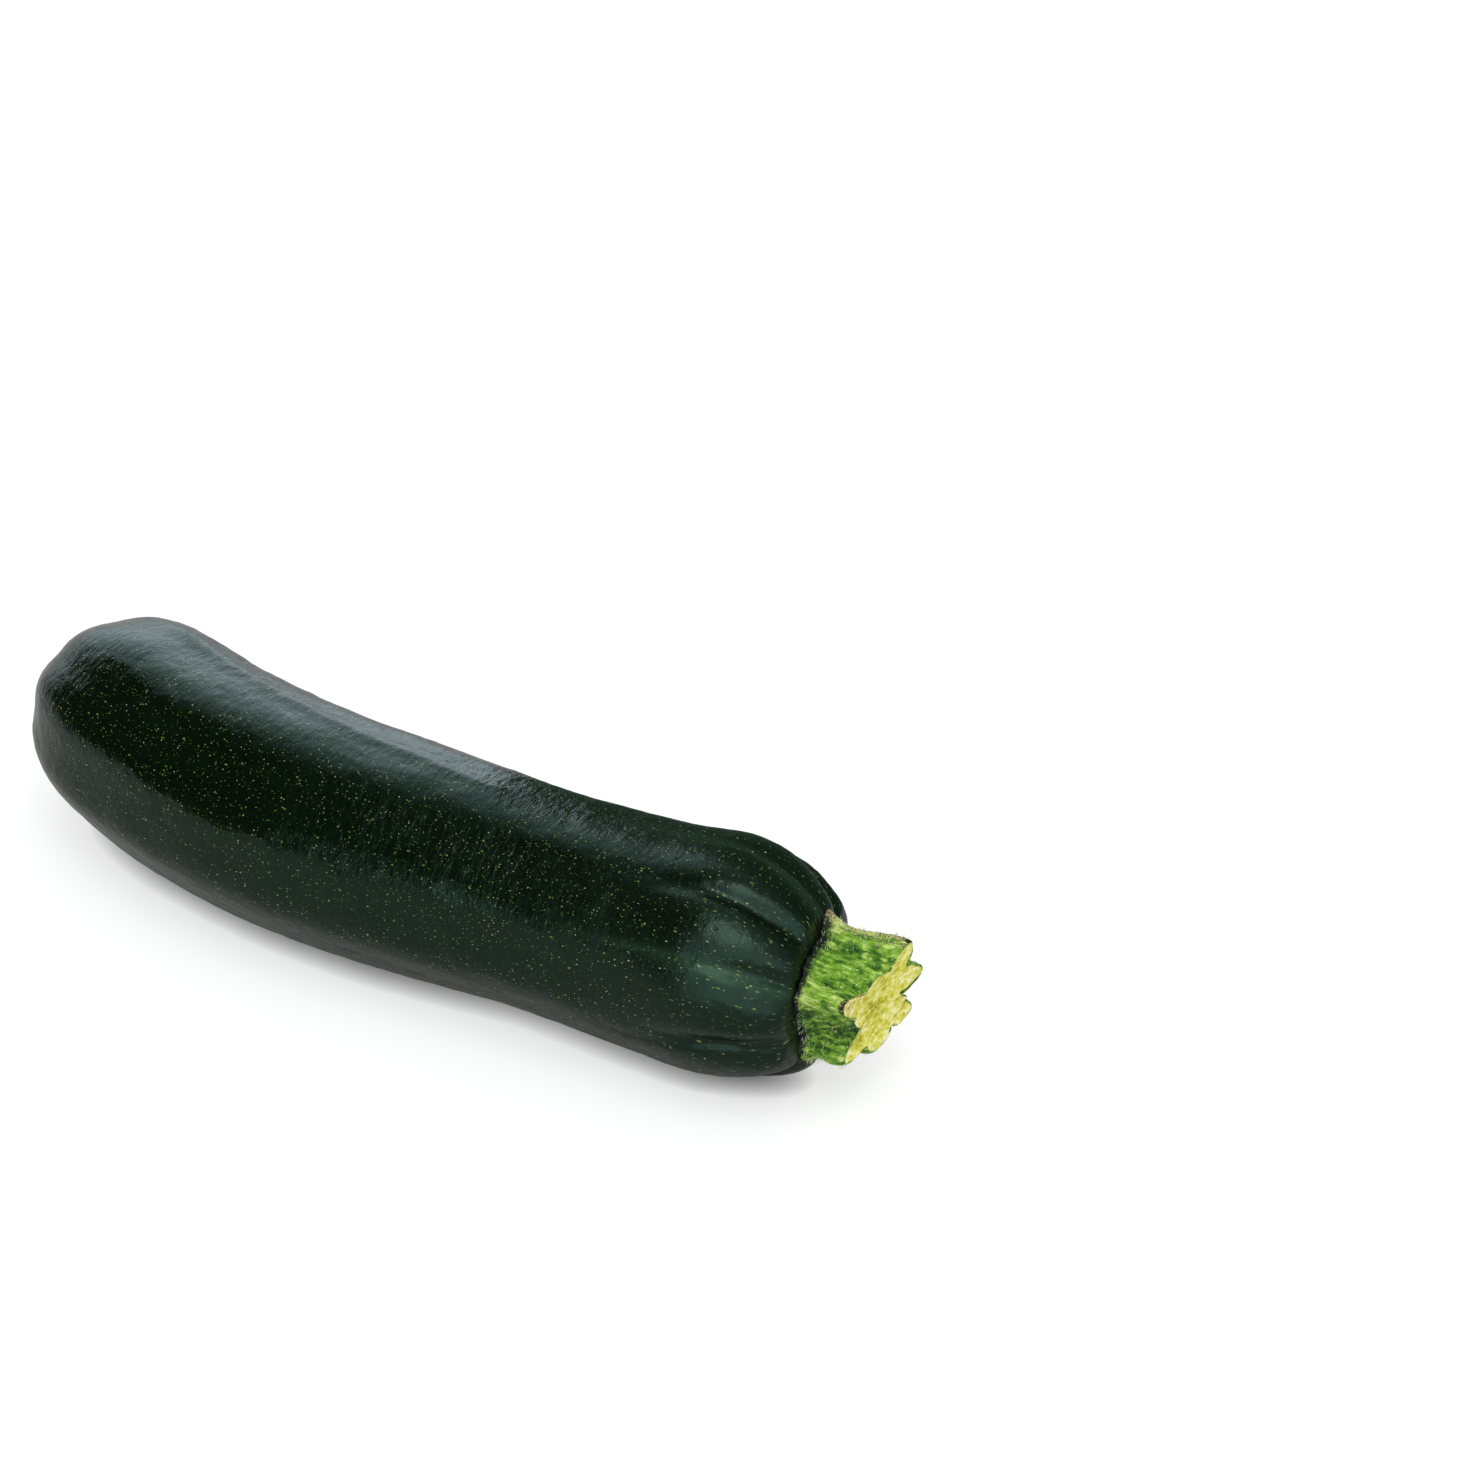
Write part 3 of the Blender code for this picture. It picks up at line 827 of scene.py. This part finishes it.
# %% Skin: ripples on the upper side, grain and pits
along_and_up = add(tree, "ShaderNodeSeparateXYZ", {}, {0: place})
ripples = noise_of(tree, place, (1, 0.4, 0.4), 0.8, 4, 0.62, 0.4).outputs["Fac"]
rippling = remap(tree, along_and_up.outputs["Z"], -6, 14, low=0.3, high=1.0)
waved = bumped(tree, ripples, rippling, 0.20 * MM)
grain = noise_of(tree, place, EVEN, 2.2, 2).outputs["Fac"]
pebbled = bumped(tree, grain, 1.0, 0.03 * MM, under=waved)
PIT_SPACING = 4.0
pit_cells = add(tree, "ShaderNodeTexVoronoi", {}, {"Vector": place, "Scale": 1 / PIT_SPACING})
pits = remap(tree, pit_cells.outputs["Distance"], 0.02, 0.11, kind="SMOOTHSTEP")
pitted = bumped(tree, pits, 0.8, 0.1 * MM, under=pebbled)
tree.links.new(pitted, shader.inputs["Normal"])
print("pits about", PIT_SPACING, "mm apart")

# %% Skin: the wax
WAX_TINT = colour("#B5E7CB")
wax = remap(tree, streaks, 0.3, 0.7, low=0.12, high=0.20)
duller = remap(tree, along_and_up.outputs["X"], 128, 150, high=0.14)
tree.links.new(reckon(tree, "ADD", wax, duller), shader.inputs["Roughness"])
shader.inputs["IOR"].default_value = 1.45
shader.inputs["Specular Tint"].default_value = WAX_TINT
paint(fruit, skin)

# %% [markdown]
# ### The stem's rind and its wet cut
# The rind is matt and lighter: leaf green on the lobes, with round pale spots and a dry, corky
# crest, and a painted shade that darkens it to deep green in the hollows. The cut is pith:
# yellow-green, moist and full of fibres that run along the stem, whitish at the edge and browned
# where it dried. Both are one material, mixed by the `cut` value that the modelling stored, so that no line
# parts them.

# %% Rind colours
rind, tree, shader = new_finish("zucchini stem")
place = in_millimetres(tree, "unbent")
hollow, crest, burn = (stored_value(tree, name) for name in ("hollow", "crest", "burn"))
GREEN_RAMP = ((0.26, "#173208"), (0.38, "#3A6C0C"), (0.50, "#76A226"), (0.66, "#CCDC80"))
mottle = noise_of(tree, place, (0.4, 1, 1), 0.75, 5, 0.65).outputs["Fac"]
# Painted shade: the hollows are pushed down the ramp towards its deep greens.
rind_colour = shades_of(tree, sum_of(tree, hollow, -0.22, mottle), GREEN_RAMP)
SPOT_EDGE, PALE_SPOT, SPOTS_AT = colour("#86B03A"), colour("#B9D562"), (5, 2, 9)
rind_colour = flecks(tree, place, rind_colour, 2.0, 1.3, 0.6, (SPOT_EDGE, PALE_SPOT), 0.6, SPOTS_AT)
BLACK_GREEN = colour("#0A1406")
# Dark speckles of the rind, laid more thickly in the hollows, where they also act as painted shade.
speckle = noise_of(tree, place, (0.6, 1, 1), 2.6, 3, 0.7).outputs["Fac"]
dark_speckle_and_hollow_shade = remap(tree, sum_of(tree, hollow, 0.30, speckle), 0.60, 0.80)
rind_colour = blend(tree, dark_speckle_and_hollow_shade, rind_colour, BLACK_GREEN)
print("greens of the rind:", [shade for _, shade in GREEN_RAMP])

# %% Where the rind darkens, grows hairs, dries and burns
tufts = noise_of(tree, place, EVEN, 1.3, 5, 0.75).outputs["Fac"]
darkened = remap(tree, sum_of(tree, stored_value(tree, "foot"), 0.75, tufts), 0.78, 1.05)
rind_colour = blend(tree, darkened, rind_colour, BLACK_GREEN)
HAIRY, HAIRS_AT = colour("#C9CBA0"), (11, 3, 1)
rind_colour = flecks(tree, place, rind_colour, 0.55, 0.34, 0.6, (HAIRY, HAIRY), 0.45, HAIRS_AT)
bristle = noise_of(tree, place, EVEN, 3.0, 4, 0.7).outputs["Fac"]
CRUST_RAMP = ((0.36, "#2A2412"), (0.46, "#7D6A3C"), (0.56, "#BFB184"), (0.68, "#E9E3C8"))
crusted = remap(tree, sum_of(tree, crest, 0.45, sum_of(tree, tufts, 1.5, -0.25)), 0.80, 0.98)
rind_colour = blend(tree, crusted, rind_colour, shades_of(tree, bristle, CRUST_RAMP))
BURNT = colour("#1D140A")
burnt = remap(tree, sum_of(tree, burn, 0.7, tufts), 1.0, 1.15)
rind_colour = blend(tree, burnt, rind_colour, BURNT)
print("greys and browns of the dry crest:", [shade for _, shade in CRUST_RAMP])

# %% Pith colours
PITH_RAMP = ((0.28, "#86800F"), (0.42, "#BDB928"), (0.55, "#DCD858"), (0.70, "#F6F3C4"))
fibres = noise_of(tree, place, (0.5, 1, 1), 0.8, 7, 0.7).outputs["Fac"]
slow = noise_of(tree, place, EVEN, 0.22, 2).outputs["Fac"]
toned = sum_of(tree, slow, 0.4, sum_of(tree, fibres, 1.2, -0.36))
toned = sum_of(tree, stored_value(tree, "reach"), 0.14, toned)
pith = shades_of(tree, toned, PITH_RAMP)
TAN_PATCH = ((0.40, "#8A5A1C"), (0.52, "#C99A45"), (0.66, "#EAD9A8"))
browned = remap(tree, sum_of(tree, burn, 0.34, sum_of(tree, tufts, 1.6, -0.32)), 0.80, 0.93)
pith = blend(tree, browned, pith, shades_of(tree, bristle, TAN_PATCH))

# %% Rind and pith in one material
cut = stored_value(tree, "cut")
tree.links.new(blend(tree, cut, rind_colour, pith), shader.inputs["Base Color"])
tree.links.new(remap(tree, cut, 0, 1, low=0.62, high=0.42), shader.inputs["Roughness"])
shader.inputs["Specular IOR Level"].default_value = 0.3
raised = bumped(tree, sum_of(tree, fibres, 1.0, mottle), 0.8, 0.5 * MM)
roughened = bumped(tree, bristle, 0.7, 0.12 * MM, under=raised)
tree.links.new(roughened, shader.inputs["Normal"])
paint(stem, rind)

# %% [markdown]
# ### Hairs and cork
# The hairs are dry and glassy, paler where the light catches them, so slow noise mixes a straw
# and a cream. The scar is dead cork: rough, tan to dark brown, crumbled finer than a millimetre.
# The noise that colours it also raises its bumps, so the dark crumbs are the low ones.

# %% Hairs
hair, tree, shader = new_finish("stiff pale hairs")
STRAW, CREAM, HAIR_NOISE = colour("#8C8F5A"), colour("#F0EFD8"), 900
where = add(tree, "ShaderNodeTexCoord").outputs["Object"]
along_hair = noise_of(tree, where, EVEN, HAIR_NOISE, 2).outputs["Fac"]
tree.links.new(blend(tree, along_hair, STRAW, CREAM), shader.inputs["Base Color"])
shader.inputs["Roughness"].default_value = 0.55
paint(prickles, hair)

# %% Cork
cork, tree, shader = new_finish("dry tan cork")
CORK_RAMP = ((0.30, "#3B2C18"), (0.45, "#7A6238"), (0.58, "#A58C58"), (0.72, "#CDBB8C"))
crumbs = noise_of(tree, in_millimetres(tree, "unbent"), EVEN, 1.4, 6, 0.7).outputs["Fac"]
tree.links.new(shades_of(tree, crumbs, CORK_RAMP), shader.inputs["Base Color"])
tree.links.new(bumped(tree, crumbs, 0.8, 0.3 * MM), shader.inputs["Normal"])
shader.inputs["Roughness"].default_value = 0.85
paint(scar, cork)

# %% [markdown]
# ## The floor, the camera and the light
# The picture has a plain white floor. A dark glossy thing shows what stands round it, not its
# own colour, so the light is built like a product photographer's. A glowing tent gives the cool
# band along the top and the tip. A black card on the left keeps the side towards the camera
# dark, and a dark green card behind does the same for the far shoulder. A hooded lamp, seen only
# as a soft sheen, rounds the near shoulder. A large lamp above gives the stem its shadows. The
# floor glows, as a light table does, and its short, pale shadow is painted in: an Ambient Occlusion node
# dims the glow near the fruit.

# %% Floor
PAINTED_SHADOW_REACH, LIT_FLOOR, MIRRORED_FLOOR = 4.5 * MM, 0.62, 0.07
bpy.ops.object.select_all(action="DESELECT")
bpy.ops.mesh.primitive_plane_add(size=12, location=(0, 0, 0))
floor = bpy.context.object
floor.name = "floor"
paper, tree, shader = new_finish("white paper, glowing, with a painted contact shadow")
set_matt(shader, colour("#A2A2A2"))
shader.inputs["Emission Color"].default_value = (1, 1, 1, 1)
# Painted shadow: an Ambient Occlusion node dims the floor's glow close to the fruit, a short contact shadow
# painted into the floor.
glow_outside_painted_shadow = add(tree, "ShaderNodeAmbientOcclusion", {"samples": 8}, {"Distance": PAINTED_SHADOW_REACH}).outputs["AO"]
in_mirror = add(tree, "ShaderNodeLightPath").outputs["Is Glossy Ray"]
lit = remap(tree, in_mirror, 0, 1, low=LIT_FLOOR, high=MIRRORED_FLOOR)
tree.links.new(reckon(tree, "MULTIPLY", glow_outside_painted_shadow, lit), shader.inputs["Emission Strength"])
paint(floor, paper)
floor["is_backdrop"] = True

# %% Camera
AZIMUTH, ELEVATION = math.radians(36.25), math.radians(35)
CAMERA_HEIGHT, LENS = 0.571, 116.0
AIM_ACROSS, AIM_DEPTH = 0.05855, 0.0717
to_camera = Vector((math.sin(AZIMUTH), -math.cos(AZIMUTH), 0))
to_right = Vector((math.cos(AZIMUTH), math.sin(AZIMUTH), 0))
up = Vector((0, 0, 1))
aim = to_right * AIM_ACROSS - to_camera * AIM_DEPTH
back = to_camera * math.cos(ELEVATION) + up * math.sin(ELEVATION)
camera = bpy.data.objects.new("camera", bpy.data.cameras.new("camera"))
bpy.context.scene.collection.objects.link(camera)
camera.data.sensor_width, camera.data.lens = 36, LENS
camera.location = aim + back * (CAMERA_HEIGHT / math.sin(ELEVATION))
camera.rotation_mode = "QUATERNION"
camera.rotation_quaternion = (-back).to_track_quat("-Z", "Y")
bpy.context.scene.camera = camera
print("camera at", [round(c, 3) for c in camera.location])

# %% [markdown]
# The large lamp lights what is matt, but its hard edge would show in the wax. So it is hidden
# from reflections, and the tent and the hooded lamp stand in for it there.

# %% The large lamp above
LAMP_SIZE, LAMP_DISTANCE, LAMP_RADIANCE = 0.8, 1.2, 2.6
above = (0.38 * to_camera - 0.02 * to_right + 0.92 * up).normalized()
light = bpy.data.lights.new("lamp above the shoulder", "AREA")
light.size = LAMP_SIZE
light.color = colour("#F9FFFF")[:3]
light.energy = LAMP_RADIANCE * math.pi * LAMP_SIZE**2
lamp = bpy.data.objects.new("lamp above the shoulder", light)
bpy.context.scene.collection.objects.link(lamp)
lamp.location = above * LAMP_DISTANCE
lamp.rotation_mode = "QUATERNION"
lamp.rotation_quaternion = (-above).to_track_quat("-Z", "Y")
lamp.visible_camera = lamp.visible_glossy = False
print("lamp of", round(light.energy, 2), "W")


# %% Two dark cards, which only the wax sees
def show_in_reflections(piece, name, finish):
    """Names a card of the stage, and shows it in the wax and nowhere else."""
    piece.name = name
    paint(piece, finish)
    piece.visible_camera = piece.visible_diffuse = piece.visible_shadow = False
    piece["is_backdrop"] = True


def dark_card(name, centre, width, height, turn, shade):
    """An upright card that stands on the floor."""
    bpy.ops.object.select_all(action="DESELECT")
    x, y = centre
    bpy.ops.mesh.primitive_plane_add(size=1, location=(x, y, height / 2), rotation=(quarter, 0, turn))
    card = bpy.context.object
    card.scale = (width, height, 1)
    bpy.ops.object.transform_apply(location=False, rotation=False, scale=True)
    finish, _, shader = new_finish(name)
    set_matt(shader, shade)
    show_in_reflections(card, name, finish)


LEFT_END = -to_right * 0.42
dark_card("green card behind", (0.093, 0.096), 0.255, 0.175, math.radians(6.5), colour("#455E50"))
dark_card("black card on the left", LEFT_END[:2], 0.75, 0.5, AZIMUTH + quarter, colour("#191D1B"))

# %% The hooded lamp: a disc that fades to its rim
HOOD_RADIUS, HOOD_DISTANCE, HOOD_RADIANCE = 0.18, 0.3, 4.2
SHOULDER = Vector((70 * MM, 5 * MM, 40 * MM))
hood = (0.58 * to_camera - 0.06 * to_right + 0.81 * up).normalized()
bpy.ops.object.select_all(action="DESELECT")
bpy.ops.mesh.primitive_circle_add(
    vertices=64, radius=HOOD_RADIUS, fill_type="NGON", location=SHOULDER + hood * HOOD_DISTANCE
)
disc = bpy.context.object
disc.rotation_mode = "QUATERNION"
disc.rotation_quaternion = (-hood).to_track_quat("Z", "Y")
sheen, tree, shader = new_finish("hooded lamp")
tree.nodes.remove(shader)
place = add(tree, "ShaderNodeTexCoord").outputs["Object"]
from_middle = add(tree, "ShaderNodeVectorMath", {"operation": "LENGTH"}, {0: place}).outputs["Value"]
fade = remap(tree, from_middle, HOOD_RADIUS, HOOD_RADIUS * 0.35, high=HOOD_RADIANCE, kind="SMOOTHSTEP")
opaque = remap(tree, from_middle, HOOD_RADIUS, HOOD_RADIUS * 0.6)
glow = add(tree, "ShaderNodeEmission", {}, {"Color": colour("#FFF9FF"), "Strength": fade}).outputs[0]
clear = add(tree, "ShaderNodeBsdfTransparent").outputs[0]
mixed = add(tree, "ShaderNodeMixShader", {}, {0: opaque, 1: clear, 2: glow}).outputs[0]
tree.links.new(mixed, tree.nodes["Material Output"].inputs["Surface"])
show_in_reflections(disc, "hooded lamp", sheen)

# %% [markdown]
# The tent is the world. The camera and the matt things see it plain white. Only the wax sees it
# brighter in front and behind than at the sides, with a black card on the left whose edges fade.

# %% The tent and its black card
TENT, CARD = colour("#E1F0FF"), colour("#191D1D")
TENT_SIDES, TENT_ENDS, TENT_STRENGTH = 0.39, 1.79, 1.1
world = bpy.data.worlds.new("studio")
bpy.context.scene.world = world
world.use_nodes = True
tree = world.node_tree
sky = tree.nodes["Background"]
direction = add(tree, "ShaderNodeTexCoord").outputs["Generated"]


def leaning(axis):
    """How far the direction leans along an axis, from -1 to 1."""
    sockets = {0: direction, 1: tuple(axis)}
    return add(tree, "ShaderNodeVectorMath", {"operation": "DOT_PRODUCT"}, sockets).outputs["Value"]


on_left = remap(tree, leaning(-to_right), 0.12, 0.42, kind="SMOOTHSTEP")
not_front = remap(tree, leaning(-to_camera), -0.72, -0.58, kind="SMOOTHSTEP")
not_behind = remap(tree, leaning(to_camera), -0.62, -0.12, kind="SMOOTHSTEP")
card = reckon(tree, "MULTIPLY", reckon(tree, "MULTIPLY", on_left, not_front), not_behind)
depth = leaning(to_camera)
glow = sum_of(tree, reckon(tree, "MULTIPLY", depth, depth), TENT_ENDS, TENT_SIDES)
tent = add(tree, "ShaderNodeVectorMath", {"operation": "SCALE"}, {0: TENT[:3], "Scale": glow}).outputs[0]
in_mirror = add(tree, "ShaderNodeLightPath").outputs["Is Glossy Ray"]
seen = blend(tree, in_mirror, (1, 1, 1, 1), blend(tree, card, tent, CARD))
tree.links.new(seen, sky.inputs["Color"])
sky.inputs["Strength"].default_value = TENT_STRENGTH
bpy.context.scene.view_settings.view_transform = "Standard"
print("studio made of", len(tree.nodes), "nodes")

# %% How far the finished pieces reach beyond the solids
low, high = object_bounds()
grown = [round(v / MM, 2) for v in (*(cad_low - low), *(high - cad_high))]
print("grown beyond the solids, in mm:", grown)
